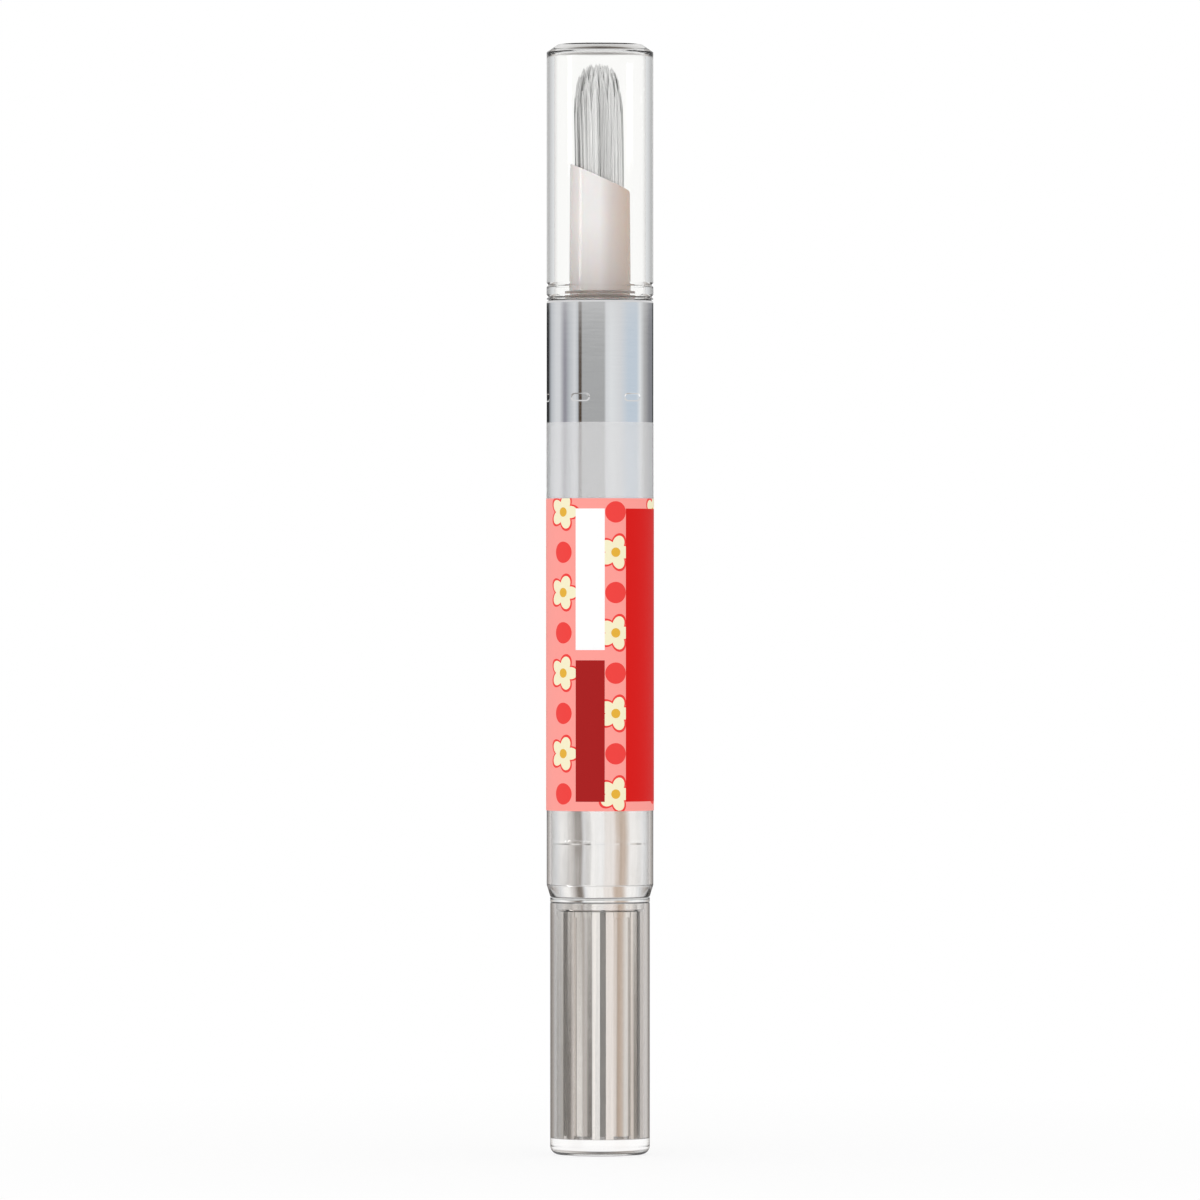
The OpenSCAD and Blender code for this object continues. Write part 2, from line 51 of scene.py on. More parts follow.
# Sizes repeated from part.scad, in millimetres
BODY_R = 6.25
BORE_R = 5.75
SPIGOT_R = 5.7
SPIGOT_BORE_R = 4.8
KNOB_R = 5.83
KNOB_IN_R = 5.23
KNOB_TOP = 29.5
KNOB_FLOOR = 1.9
JOURNAL_R = 5.13
SLEEVE_R = 4.88
SLOT_FLOOR_R = 4.48
RIBS = 7
RIB_TURN = 3.6
RIB_W = 2.4
SLEEVE_TOP = 27.7
RIB_TOP = 28.5
RING_FOOT = 30.2
BARREL_FOOT = 31.6
HOUSING_BEAD = 36.6
CHAMBER_TOP = 75.0
SHOULDER = 75.8
SPIGOT_TOP = 92.0
COLLAR_TOP = 100.1
DIMPLE_Z = 88.6
DIMPLES = 6
DIMPLE_TURN = -22.0
LABEL_FOOT = 40.3
FILM_TOP = 85.7
CAP_FOOT = 100.15
CAP_TOP = 130.0
CAP_IN_R = 5.35
SKIRT_R = 5.55
SKIRT_IN_R = 4.95
SKIRT_FOOT = 94.5
FERRULE_FOOT = 94.7
FERRULE_SPIGOT_R = 3.4
FERRULE_FLOOR = 99.0
FERRULE_BORE_R = 2.95
FERRULE_R = 3.6
MOUTH_R = 3.48
MOUTH = 116.05
SLANT = 25.0
FLANGE_R = 4.13
FLANGE_TOP = 101.1
FEED_HOLE_R = 0.87
TUFT_TIP = 128.2

# Sizes of details, in millimetres. Some of them only the visual pieces have
CAP_CHAMFER_H = 0.9
CAP_CHAMFER_W = 1.3
CAP_ROOF = 0.95
CAP_STEP_TOP = COLLAR_TOP - 0.3
CAP_STEP_FOOT = COLLAR_TOP - 0.7
CAP_GROOVES = (COLLAR_TOP + 0.35, COLLAR_TOP + 1.75)
GROOVE_DEPTH = 0.24
RING_IN_R = JOURNAL_R - 0.01
RING_TOP = BARREL_FOOT - 0.02
WASHER_IN_R = JOURNAL_R + 0.05
WASHER_FOOT = KNOB_TOP + 0.05
WASHER_TOP = KNOB_TOP + 0.65
CRIMP_DEPTH = 0.2
CRIMP_HALF = 0.6
CONE_H = 0.95
FILM_IN_R = BODY_R + 0.02
FILM_OUT_R = BODY_R + 0.07
PRINT_TOP = 76.8
DIMPLE_BAND = 0.5
HOUSING_R = BORE_R - 0.05
SLEEVE_WALL_R = SLEEVE_R - 0.5
RIM_R = 5.08
RIM_ROOT = SLEEVE_TOP - 0.1
RIM_FOOT = RIB_TOP - 0.62

# The front of the pen faces -Y
FRONT = math.radians(-90)


# ---------------------------------------------------------------- making meshes


def turned(outline, steps=192):
    """Spins a closed outline of (radius, height) corners round the pen's axis.
    A corner's third number rounds it."""
    bm = bmesh.new()
    line = [bm.verts.new((corner[0] * MM, 0, corner[1] * MM)) for corner in outline]
    for a, b in zip(line, line[1:] + line[:1]):
        bm.edges.new((a, b))
    bmesh.ops.spin(
        bm,
        geom=bm.verts[:] + bm.edges[:],
        cent=(0, 0, 0),
        axis=(0, 0, 1),
        angle=math.tau,
        steps=steps,
        use_merge=True,
    )
    bmesh.ops.remove_doubles(bm, verts=bm.verts, dist=1e-7)
    # The part of an outline that lies on the axis sweeps no face
    bmesh.ops.delete(bm, geom=[edge for edge in bm.edges if edge.is_wire], context="EDGES")
    bmesh.ops.recalc_face_normals(bm, faces=bm.faces)
    for corner in outline:
        if len(corner) == 3:
            round_corner(bm, *corner)
    return bm


def on_ring(vert, radius, height):
    """Whether a vertex lies on the ring with this radius and height."""
    near = 1e-6
    off_radius = abs(math.hypot(vert.co.x, vert.co.y) - radius * MM)
    return off_radius < near and abs(vert.co.z - height * MM) < near


def round_corner(bm, radius, height, size):
    """Rounds the ring that one corner of an outline has become. A large rounding gets more steps."""
    large = 0.25
    ring = [edge for edge in bm.edges if all(on_ring(vert, radius, height) for vert in edge.verts)]
    bmesh.ops.bevel(
        bm,
        geom=ring,
        offset=size * MM,
        segments=3 if size < large else 9,
        profile=0.5,
        affect="EDGES",
        material=-1,
        clamp_overlap=True,
    )


def piece(name, bm, body, material, nodes, sharp=35):
    """Makes a bmesh into a named piece that rides on a body and stands for CAD nodes.
    Edges sharper than a number of degrees stay sharp."""
    for face in bm.faces:
        face.smooth = True
    for edge in bm.edges:
        edge.smooth = edge.calc_face_angle(0) < math.radians(sharp)
    mesh = bpy.data.meshes.new(name)
    bm.to_mesh(mesh)
    bm.free()
    mesh.materials.append(material)
    obj = bpy.data.objects.new(name, mesh)
    bpy.context.scene.collection.objects.link(obj)
    evened = obj.modifiers.new("even_shading", "WEIGHTED_NORMAL")
    evened.keep_sharp = True
    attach(obj, body)
    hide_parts(*nodes)


# ---------------------------------------------------------------- making materials


def colour(code):
    """An sRGB hex colour as linear RGBA."""
    parts = [int(code[i : i + 2], 16) / 255 for i in (1, 3, 5)]
    return (*[c / 12.92 if c <= 0.04045 else ((c + 0.055) / 1.055) ** 2.4 for c in parts], 1.0)


def add(tree, kind, inputs=None, **settings):
    """Adds a node, with its settings, and its inputs as values or as other nodes' outputs."""
    made = tree.nodes.new(kind)
    for name, value in settings.items():
        setattr(made, name, value)
    for key, value in (inputs or {}).items():
        if isinstance(value, bpy.types.NodeSocket):
            tree.links.new(value, made.inputs[key])
        else:
            made.inputs[key].default_value = value
    return made


def maths(tree, operation, a, b=0.0, c=0.0):
    """The output of one Math node."""
    return add(tree, "ShaderNodeMath", {0: a, 1: b, 2: c}, operation=operation).outputs[0]


def ramp(tree, factor, stops):
    """A colour ramp with (place, hex colour) stops."""
    made = add(tree, "ShaderNodeValToRGB", {"Fac": factor})
    while len(made.color_ramp.elements) < len(stops):
        made.color_ramp.elements.new(1.0)
    for element, (place, code) in zip(made.color_ramp.elements, stops):
        element.position = place
        element.color = colour(code)
    return made.outputs["Color"]


def blank(name):
    """A new material, its tree and its shader."""
    material = bpy.data.materials.new(name)
    material.use_nodes = True
    tree = material.node_tree
    return material, tree, tree.nodes["Principled BSDF"]


def position(tree, space="Object"):
    """A texture coordinate: the place on the pen, or for the world the ray's direction."""
    return add(tree, "ShaderNodeTexCoord").outputs[space]


def axes(tree, space="Object"):
    """The X, Y and Z of a texture coordinate."""
    return add(tree, "ShaderNodeSeparateXYZ", {0: position(tree, space)}).outputs


def grain(tree, stretch, size, detail=3.0):
    """Noise on Object coordinates. size is the grain's width in millimetres, and stretch scales each
    axis."""
    scale = tuple(s / (size * MM) for s in stretch)
    scaled = add(tree, "ShaderNodeMapping", {"Vector": position(tree), "Scale": scale})
    return add(
        tree,
        "ShaderNodeTexNoise",
        {"Vector": scaled.outputs["Vector"], "Scale": 1.0, "Detail": detail, "Roughness": 0.55},
    ).outputs["Fac"]


def mapped(tree, value, start, end, low=0.0, high=1.0):
    """Maps a value from start..end to low..high, and holds it there beyond."""
    limits = {"Value": value, "From Min": start, "From Max": end, "To Min": low, "To Max": high}
    return add(tree, "ShaderNodeMapRange", limits).outputs["Result"]


def between(tree, factor, low, high):
    """Maps a factor from 0..1 to low..high."""
    return mapped(tree, factor, 0.0, 1.0, low, high)


def mix(tree, factor, first, second):
    """Mixes two shaders by a factor."""
    return add(tree, "ShaderNodeMixShader", {0: factor, 1: first, 2: second}).outputs[0]


def relief(tree, shader, height, distance, strength):
    """Links a height field, distance in millimetres deep, to the shader's normal."""
    inputs = {"Height": height, "Strength": strength, "Distance": distance * MM}
    bump = add(tree, "ShaderNodeBump", inputs)
    tree.links.new(bump.outputs["Normal"], shader.inputs["Normal"])


def clear_styrene(name, rim, tint="#ffffff", ior=1.59):
    """Clear moulded styrene: polished and colourless, with painted shade that greys it where one looks
    along its wall.
    """
    material, tree, shader = blank(name)
    shader.inputs["IOR"].default_value = ior
    shader.inputs["Transmission Weight"].default_value = 1.0
    # Painted shade: the base colour turns to the rim colour where the surface is seen edge-on
    edge = add(tree, "ShaderNodeLayerWeight", {"Blend": 0.5}).outputs["Facing"]
    wall = ramp(tree, edge, [(0.0, tint), (0.62, tint), (0.97, rim)])
    tree.links.new(wall, shader.inputs["Base Color"])
    scuff = grain(tree, (1, 1, 0.2), 0.9)
    tree.links.new(between(tree, scuff, 0.0, 0.035), shader.inputs["Roughness"])
    relief(tree, shader, scuff, 0.0005, 0.1)
    return material


def from_axis(tree):
    """Distance from the pen's axis, in millimetres."""
    flat = add(tree, "ShaderNodeVectorMath", {0: position(tree), 1: (1, 1, 0)}, operation="MULTIPLY")
    length = add(tree, "ShaderNodeVectorMath", {0: flat.outputs["Vector"]}, operation="LENGTH")
    return maths(tree, "DIVIDE", length.outputs["Value"], MM)


def inside(tree, value, low, high):
    """1 where a value lies between two limits, and 0 elsewhere."""
    above = maths(tree, "GREATER_THAN", value, low)
    return maths(tree, "MULTIPLY", above, maths(tree, "LESS_THAN", value, high))


def laid_over(tree, base, code, mask):
    """One colour laid over another where the mask is 1."""
    inputs = {"Factor": mask, "A": base, "B": colour(code)}
    return add(tree, "ShaderNodeMix", inputs, data_type="RGBA").outputs["Result"]


# Painted shade on the drive sleeve between its ribs, and darker painted shade down in their slots
GROOVE_SHADE = "#e6e3e0"
SLOT_SHADE = "#a6a19c"


def satin_silver(name, low, high, rough, ribbed=False):
    """Plastic with a satin metallised coat: soft grey gloss with faint draw lines along the pen.
    Between ribs it takes a greyer painted shade, and down in their slots a darker painted shade with no
    metal."""
    material, tree, shader = blank(name)
    lines = grain(tree, (1, 1, 0.01), 0.22)
    cloud = grain(tree, (1, 1, 1), 2.5)
    coat = ramp(tree, lines, [(0.3, low), (0.7, high)])
    if ribbed:
        radius = from_axis(tree)
        skin, below_floor = 0.1, 0.3
        # Painted shade: greyer on the tube between the ribs, and darker and not metallic down in the
        # slots
        slot = inside(tree, radius, SLOT_FLOOR_R - below_floor, SLEEVE_R - skin)
        tube = inside(tree, radius, SLEEVE_R - skin, SLEEVE_R + skin)
        coat = laid_over(tree, coat, GROOVE_SHADE, tube)
        coat = laid_over(tree, coat, SLOT_SHADE, slot)
        shine = maths(tree, "SUBTRACT", 1.0, slot)
        tree.links.new(shine, shader.inputs["Metallic"])
    else:
        shader.inputs["Metallic"].default_value = 1.0
    tree.links.new(coat, shader.inputs["Base Color"])
    tree.links.new(between(tree, cloud, rough - 0.04, rough + 0.04), shader.inputs["Roughness"])
    relief(tree, shader, lines, 0.002, 0.2)
    return material


def bright_aluminium(name):
    """Bright anodised aluminium: near mirror, with the faint waviness that drawing leaves along the
    sleeve."""
    material, tree, shader = blank(name)
    shader.inputs["Metallic"].default_value = 1.0
    hair = grain(tree, (0.05, 0.05, 1), 0.12, 2.0)
    wave = grain(tree, (1, 1, 0.12), 1.3, 2.0)
    tree.links.new(ramp(tree, hair, [(0.2, "#f3f3f4"), (0.8, "#f7f7f8")]), shader.inputs["Base Color"])
    tree.links.new(between(tree, hair, 0.03, 0.07), shader.inputs["Roughness"])
    relief(tree, shader, wave, 0.003, 0.12)
    return material


def moulded_plastic(name, low, high, rough):
    """Natural moulded plastic: milky, with a fine matt grain from the mould."""
    material, tree, shader = blank(name)
    cloud = grain(tree, (1, 1, 0.5), 3.0)
    fine = grain(tree, (1, 1, 1), 0.4)
    tree.links.new(ramp(tree, cloud, [(0.3, low), (0.7, high)]), shader.inputs["Base Color"])
    tree.links.new(between(tree, fine, rough - 0.06, rough + 0.06), shader.inputs["Roughness"])
    relief(tree, shader, fine, 0.004, 0.3)
    return material


# Colours across the ferrule from -X to +X, milky with painted side shade, and the painted shade of its
# foot and its flange
FERRULE_MILK_AND_SIDE_SHADE = [
    (0.0, "#ded6d4"),
    (0.25, "#faf6f6"),
    (0.5, "#fbf5f5"),
    (0.66, "#e2d8d5"),
    (1.0, "#ccb29f"),
]
FERRULE_FOOT_SHADE = "#b3aaa6"
FLANGE_SHADE = "#9d928c"


def translucent_ferrule(name):
    """Glossy translucent polypropylene: milky, with painted shade darker on its left, darker and warmer
    on its right, darker towards its foot and in the flange.
    """
    material, tree, shader = blank(name)
    place = axes(tree)
    # Painted shade across the tube: lighter in the middle, darker on the left, darker and warmer on the
    # right
    across = maths(tree, "MULTIPLY_ADD", maths(tree, "DIVIDE", place["X"], MM), 0.5 / FERRULE_R, 0.5)
    milk_and_shade = ramp(tree, across, FERRULE_MILK_AND_SIDE_SHADE)
    # Painted shade: darker towards the foot above the flange, and darker still in the flange
    foot_shade_to = FLANGE_TOP + 8
    low = mapped(tree, place["Z"], FLANGE_TOP * MM, foot_shade_to * MM, 0.5, 0.0)
    milk_and_shade = laid_over(tree, milk_and_shade, FERRULE_FOOT_SHADE, low)
    flange = maths(tree, "LESS_THAN", place["Z"], FLANGE_TOP * MM)
    milk_and_shade = laid_over(tree, milk_and_shade, FLANGE_SHADE, flange)
    tree.links.new(milk_and_shade, shader.inputs["Base Color"])
    shader.inputs["Subsurface Weight"].default_value = 0.2
    shader.inputs["Subsurface Scale"].default_value = 0.6 * MM
    fine = grain(tree, (1, 1, 1), 0.5)
    tree.links.new(between(tree, fine, 0.08, 0.14), shader.inputs["Roughness"])
    relief(tree, shader, fine, 0.001, 0.2)
    return material


def drawn_steel(name):
    """Drawn stainless tube: grey metal with lines along its length."""
    material, tree, shader = blank(name)
    shader.inputs["Metallic"].default_value = 1.0
    lines = grain(tree, (1, 1, 0.02), 0.1)
    tree.links.new(ramp(tree, lines, [(0.3, "#b9bbbe"), (0.7, "#d0d2d4")]), shader.inputs["Base Color"])
    tree.links.new(between(tree, lines, 0.18, 0.3), shader.inputs["Roughness"])
    relief(tree, shader, lines, 0.002, 0.2)
    return material


def brush_nylon(name):
    """White nylon filament: satin and milky, each strand a little lighter or darker than the next, with
    painted shade greying the tuft's left side much and its right side a little.
    """
    material, tree, shader = blank(name)
    tone = add(tree, "ShaderNodeAttribute", attribute_name="strand_tone_and_shade").outputs["Fac"]
    fleck = grain(tree, (1, 1, 0.05), 0.1, 1.0)
    mixed = maths(tree, "MULTIPLY_ADD", maths(tree, "SUBTRACT", fleck, 0.5), 0.4, tone)
    milk_and_shade = ramp(tree, mixed, [(0.0, "#8e8e8e"), (0.35, "#d6d6d6"), (0.7, "#ffffff")])
    tree.links.new(milk_and_shade, shader.inputs["Base Color"])
    tree.links.new(between(tree, fleck, 0.25, 0.4), shader.inputs["Roughness"])
    relief(tree, shader, fleck, 0.002, 0.2)
    return material


# The second colour of each clear piece is its painted edge shade
clear_cap = clear_styrene("clear_styrene_cap", "#cfccc9", "#fdfdfc", ior=1.2)
clear_knob = clear_styrene("clear_styrene_knob", "#8f8a87", "#fdfcfb")
clear_barrel = clear_styrene("clear_styrene_barrel", "#8f8c8b")
clear_ring = clear_styrene("clear_styrene_ring", "#c9c6c4", ior=1.25)
silver_drive = satin_silver("satin_metallised_drive", "#e4e1de", "#f0edea", 0.1, ribbed=True)
silver_housing = satin_silver("satin_metallised_housing", "#e6e4e2", "#edebea", 0.09)
silver_washer = satin_silver("satin_metallised_washer", "#eae9e7", "#f2f1f0", 0.12)
collar_metal = bright_aluminium("bright_anodised_aluminium")
natural_acetal = moulded_plastic("natural_acetal", "#e6e4df", "#efede9", 0.38)
# Painted shade: a darker copy of the natural acetal, for the neck plug
painted_shade_acetal = moulded_plastic("painted_shade_acetal", "#9d9590", "#a8a19c", 0.38)
seal_plastic = moulded_plastic("low_density_polyethylene", "#eeeeec", "#f6f6f4", 0.5)
screw_plastic = moulded_plastic("natural_polypropylene", "#e2e0dc", "#ecebe7", 0.35)
seal_rubber = moulded_plastic("nitrile_rubber", "#171717", "#222222", 0.55)
root_resin = moulded_plastic("set_epoxy", "#cbb99d", "#d8c9af", 0.2)
ferrule_plastic = translucent_ferrule("translucent_polypropylene")
feed_steel = drawn_steel("drawn_stainless_tube")
bristle_nylon = brush_nylon("white_nylon_filament")


# ---------------------------------------------------------------- label print

# Print colours
GROUND = "#ffa098"
RED_MOTIF = "#f24440"
CREAM_MOTIF = "#f8f0cc"
CENTRE_MOTIF = "#e8b23c"
WHITE_PANEL = "#ffffff"
DARK_PANEL = "#aa1a1a"
RED_PANEL = "#da1410"
BARE_FILM = "#ffffff"

# Panels of the print: angles from the front in degrees, heights in millimetres
PANELS = [
    (WHITE_PANEL, -26.7, 5.0, 59.1, 75.6),
    (DARK_PANEL, -26.7, 5.0, 41.4, 57.9),
    (RED_PANEL, 28.5, 100.0, 41.4, 75.6),
]

# Motifs of the print, in millimetres round the pen and up it
MOTIF_COLUMNS = 6
MOTIF_STEP = 9.4
MOTIF_SHIFT = 1.42
BLOSSOM_R = 1.2
PETAL = 0.8
OUTLINE = 0.3
CENTRE_R = 0.55
DOT_R = 1.25


def film_label(name):
    """Matt printed film: coral ground with small blossoms and dots, three bare panels, and clear film
    above."""
    material, tree, shader = blank(name)
    place = axes(tree)
    # Arc length round the pen from its front, and height, both in millimetres
    turn = maths(tree, "ARCTAN2", place["X"], maths(tree, "MULTIPLY", place["Y"], -1.0))
    along = maths(tree, "MULTIPLY", turn, BODY_R)
    height = maths(tree, "DIVIDE", place["Z"], MM)

    def tile(value, step):
        """The number of the step that a value falls in, and how far it lies from that step's middle."""
        number = maths(tree, "FLOOR", maths(tree, "DIVIDE", value, step))
        middle = maths(tree, "MULTIPLY", maths(tree, "ADD", number, 0.5), step)
        return number, maths(tree, "SUBTRACT", value, middle)

    def reach(a, b):
        """The length of the line from the origin to (a, b)."""
        squares = maths(tree, "ADD", maths(tree, "MULTIPLY", a, a), maths(tree, "MULTIPLY", b, b))
        return maths(tree, "SQRT", squares)

    # Half-drop repeat: every second column of motifs sits half a step higher
    column, u = tile(maths(tree, "ADD", along, MOTIF_SHIFT), math.tau * BODY_R / MOTIF_COLUMNS)
    odd = maths(tree, "ABSOLUTE", maths(tree, "MODULO", column, 2.0))
    shifted = maths(tree, "ADD", height, maths(tree, "MULTIPLY", odd, MOTIF_STEP / 2))
    v = tile(shifted, MOTIF_STEP)[1]
    radius = reach(u, v)
    # Half of the five petals' number, because the wave's lower half is turned up
    wave = maths(tree, "MULTIPLY", maths(tree, "ARCTAN2", v, u), 2.5)
    petals = maths(tree, "ABSOLUTE", maths(tree, "COSINE", wave))
    bloom = maths(tree, "MULTIPLY_ADD", petals, PETAL, BLOSSOM_R)
    rim = maths(tree, "MULTIPLY_ADD", petals, PETAL, BLOSSOM_R + OUTLINE)
    # A dot between the blossoms
    dot_v = maths(tree, "SUBTRACT", maths(tree, "ABSOLUTE", v), MOTIF_STEP / 2)

    paint = laid_over(tree, colour(GROUND), RED_MOTIF, maths(tree, "LESS_THAN", radius, rim))
    paint = laid_over(tree, paint, CREAM_MOTIF, maths(tree, "LESS_THAN", radius, bloom))
    paint = laid_over(tree, paint, CENTRE_MOTIF, maths(tree, "LESS_THAN", radius, CENTRE_R))
    paint = laid_over(tree, paint, RED_MOTIF, maths(tree, "LESS_THAN", reach(u, dot_v), DOT_R))
    degrees = maths(tree, "DEGREES", turn)
    for code, left, right, low, high in PANELS:
        across = inside(tree, degrees, left, right)
        panel = maths(tree, "MULTIPLY", across, inside(tree, height, low, high))
        paint = laid_over(tree, paint, code, panel)
    printed = maths(tree, "LESS_THAN", height, PRINT_TOP)
    paint = laid_over(tree, paint, BARE_FILM, maths(tree, "SUBTRACT", 1.0, printed))
    tree.links.new(paint, shader.inputs["Base Color"])
    # A ray meets both faces of the film, and each hides this share of what lies under it
    tree.links.new(between(tree, printed, 0.2, 1.0), shader.inputs["Alpha"])
    web = grain(tree, (1, 1, 1), 0.25)
    tree.links.new(between(tree, web, 0.42, 0.58), shader.inputs["Roughness"])
    shader.inputs["Specular IOR Level"].default_value = 0.12
    relief(tree, shader, web, 0.002, 0.2)
    return material


label_film = film_label("matt_printed_film")


# ---------------------------------------------------------------- clear and turned pieces


def groove(z):
    """Three corners of a groove round the cap's foot."""
    return [(BODY_R, z - GROOVE_DEPTH), (BODY_R - GROOVE_DEPTH, z, 0.1), (BODY_R, z + GROOVE_DEPTH)]


cap = turned(
    [
        (SKIRT_IN_R, SKIRT_FOOT, 0.12),
        (SKIRT_R, SKIRT_FOOT, 0.12),
        (SKIRT_R, CAP_FOOT),
        (BODY_R, CAP_FOOT, 0.06),
        *groove(CAP_GROOVES[0]),
        *groove(CAP_GROOVES[1]),
        (BODY_R, CAP_TOP - CAP_CHAMFER_H, 0.04),
        (BODY_R - CAP_CHAMFER_W, CAP_TOP, 0.04),
        (0, CAP_TOP),
        (0, CAP_TOP - CAP_ROOF),
        (CAP_IN_R, CAP_TOP - CAP_ROOF, 0.5),
        (CAP_IN_R, CAP_STEP_TOP, 0.1),
        (SKIRT_IN_R, CAP_STEP_FOOT, 0.1),
    ]
)
piece("cap_shell", cap, "cap", clear_cap, ["cap"])

knob = turned(
    [
        (0, 0),
        (KNOB_R, 0, 1.0),
        (KNOB_R, KNOB_TOP, 0.06),
        (KNOB_IN_R, KNOB_TOP, 0.06),
        (KNOB_IN_R, KNOB_FLOOR, 0.1),
        (0, KNOB_FLOOR),
    ]
)
piece("knob_sleeve_shell", knob, "knob", clear_knob, ["knob_shell"])

ring = turned(
    [
        (RING_IN_R, RING_FOOT),
        (KNOB_R, RING_FOOT, 0.06),
        (BODY_R, RING_TOP),
        (RING_IN_R, RING_TOP),
    ]
)
piece("conical_ring", ring, "barrel", clear_ring, ["end_ring"])

washer = turned(
    [
        (WASHER_IN_R, WASHER_FOOT),
        (KNOB_R, WASHER_FOOT, 0.1),
        (KNOB_R, WASHER_TOP, 0.1),
        (WASHER_IN_R, WASHER_TOP),
    ]
)
piece("thrust_ring", washer, "knob", silver_washer, ["thrust_washer"])

barrel = turned(
    [
        (BORE_R, BARREL_FOOT, 0.05),
        (BODY_R, BARREL_FOOT, 0.05),
        (BODY_R, SHOULDER, 0.05),
        (SPIGOT_R, SHOULDER),
        (SPIGOT_R, DIMPLE_Z - CRIMP_HALF),
        (SPIGOT_R - CRIMP_DEPTH, DIMPLE_Z - CRIMP_HALF),
        (SPIGOT_R - CRIMP_DEPTH, DIMPLE_Z + CRIMP_HALF),
        (SPIGOT_R, DIMPLE_Z + CRIMP_HALF),
        (SPIGOT_R, SPIGOT_TOP, 0.1),
        (SPIGOT_BORE_R, SPIGOT_TOP, 0.1),
        (SPIGOT_BORE_R, CHAMBER_TOP + CONE_H, 0.1),
        (BORE_R, CHAMBER_TOP, 0.1),
    ]
)
piece("barrel_tube", barrel, "barrel", clear_barrel, ["barrel"])

label = turned(
    [
        (FILM_IN_R, LABEL_FOOT),
        (FILM_OUT_R, LABEL_FOOT),
        (FILM_OUT_R, FILM_TOP),
        (FILM_IN_R, FILM_TOP),
    ]
)
piece("film_label", label, "barrel", label_film, ["wrap_label"])


def press_dimples(bm):
    """Pushes the collar's crimp dimples into its outer wall, as flat pills with soft edges."""
    length, width, depth, edge = 1.4, 0.92, 0.03, 0.09
    inner_wall = BODY_R - 0.3
    step = 360 / DIMPLES
    for vert in bm.verts:
        radius = math.hypot(vert.co.x, vert.co.y) / MM
        height = vert.co.z / MM - DIMPLE_Z
        if radius < inner_wall or abs(height) > width:
            continue
        turn = math.degrees(math.atan2(vert.co.y, vert.co.x) - FRONT) - DIMPLE_TURN
        arc = math.radians((turn + step / 2) % step - step / 2) * BODY_R
        off = math.hypot(max(abs(arc) - length / 2, 0), height)
        rise = min(1, max(0, (width / 2 - off) / edge))
        shrink = 1 - depth * rise * rise * (3 - 2 * rise) / BODY_R
        vert.co.x *= shrink
        vert.co.y *= shrink


collar = turned(
    [
        (BORE_R, SHOULDER),
        (BODY_R, SHOULDER, 0.08),
        (BODY_R, DIMPLE_Z - DIMPLE_BAND),
        (BODY_R, DIMPLE_Z + DIMPLE_BAND),
        (BODY_R, COLLAR_TOP, 0.4),
        (BORE_R, COLLAR_TOP, 0.05),
    ],
    steps=640,
)
# The upright edges of the band that takes the dimples are cut up finely
uprights = [
    edge
    for edge in collar.edges
    if abs(edge.verts[0].co.z - edge.verts[1].co.z) > DIMPLE_BAND * MM
    and all(abs(vert.co.z - DIMPLE_Z * MM) < 1.02 * DIMPLE_BAND * MM for vert in edge.verts)
]
bmesh.ops.subdivide_edges(collar, edges=uprights, cuts=32, use_grid_fill=True)
press_dimples(collar)
piece("crimped_collar", collar, "barrel", collar_metal, ["collar"])


def cut_off(bm, angle, x, z):
    """Cuts away what lies above a plane whose normal leans from +Z to +X by an angle in degrees.
    Returns the open edges of the cut."""
    lean = math.radians(angle)
    bmesh.ops.bisect_plane(
        bm,
        geom=bm.verts[:] + bm.edges[:] + bm.faces[:],
        plane_co=(x * MM, 0, z * MM),
        plane_no=(math.sin(lean), 0, math.cos(lean)),
        clear_outer=True,
    )
    return [edge for edge in bm.edges if edge.is_boundary]


def slanted_ferrule():
    """The brush holder: a spigot, a flange and a faintly tapered tube, cut off at a slant with a rounded
    low lip."""
    above = 1.5
    taper = (FERRULE_R - MOUTH_R) / (MOUTH - FLANGE_TOP)
    bm = turned(
        [
            (FEED_HOLE_R, FERRULE_FOOT),
            (FERRULE_SPIGOT_R, FERRULE_FOOT),
            (FERRULE_SPIGOT_R, COLLAR_TOP),
            (FLANGE_R, COLLAR_TOP),
            (FLANGE_R, FLANGE_TOP, 0.08),
            (FERRULE_R, FLANGE_TOP),
            (MOUTH_R - taper * above, MOUTH + above),
            (FERRULE_BORE_R, MOUTH + above),
            (FERRULE_BORE_R, FERRULE_FLOOR),
            (FEED_HOLE_R, FERRULE_FLOOR),
        ]
    )
    rims = cut_off(bm, SLANT, -MOUTH_R, MOUTH)
    bmesh.ops.bridge_loops(bm, edges=rims)
    # Three flats tangent to a small circle round off the low lip
    lip = 0.5
    slope = math.radians(SLANT)
    proud = 0.02
    middle_x = MOUTH_R + proud - lip
    middle_z = MOUTH - (lip + math.sin(slope) * (middle_x + MOUTH_R)) / math.cos(slope)
    for angle in (42, 58, 74):
        lean = math.radians(angle)
        rims = cut_off(bm, angle, middle_x + lip * math.sin(lean), middle_z + lip * math.cos(lean))
        bmesh.ops.holes_fill(bm, edges=rims)
    # The mouth's sharp edges, well above the flange, are broken
    sharp, well_above = 0.6, (FLANGE_TOP + 5) * MM
    rim = [
        edge
        for edge in bm.edges
        if edge.calc_face_angle(0) > sharp and all(vert.co.z > well_above for vert in edge.verts)
    ]
    bmesh.ops.bevel(
        bm,
        geom=rim,
        offset=0.05 * MM,
        segments=2,
        profile=0.5,
        affect="EDGES",
        material=-1,
        clamp_overlap=True,
    )
    bmesh.ops.recalc_face_normals(bm, faces=bm.faces)
    return bm


ferrule = slanted_ferrule()
piece("slanted_ferrule", ferrule, "barrel", ferrule_plastic, ["brush_ferrule"])


# ---------------------------------------------------------------- pieces that keep the CAD form


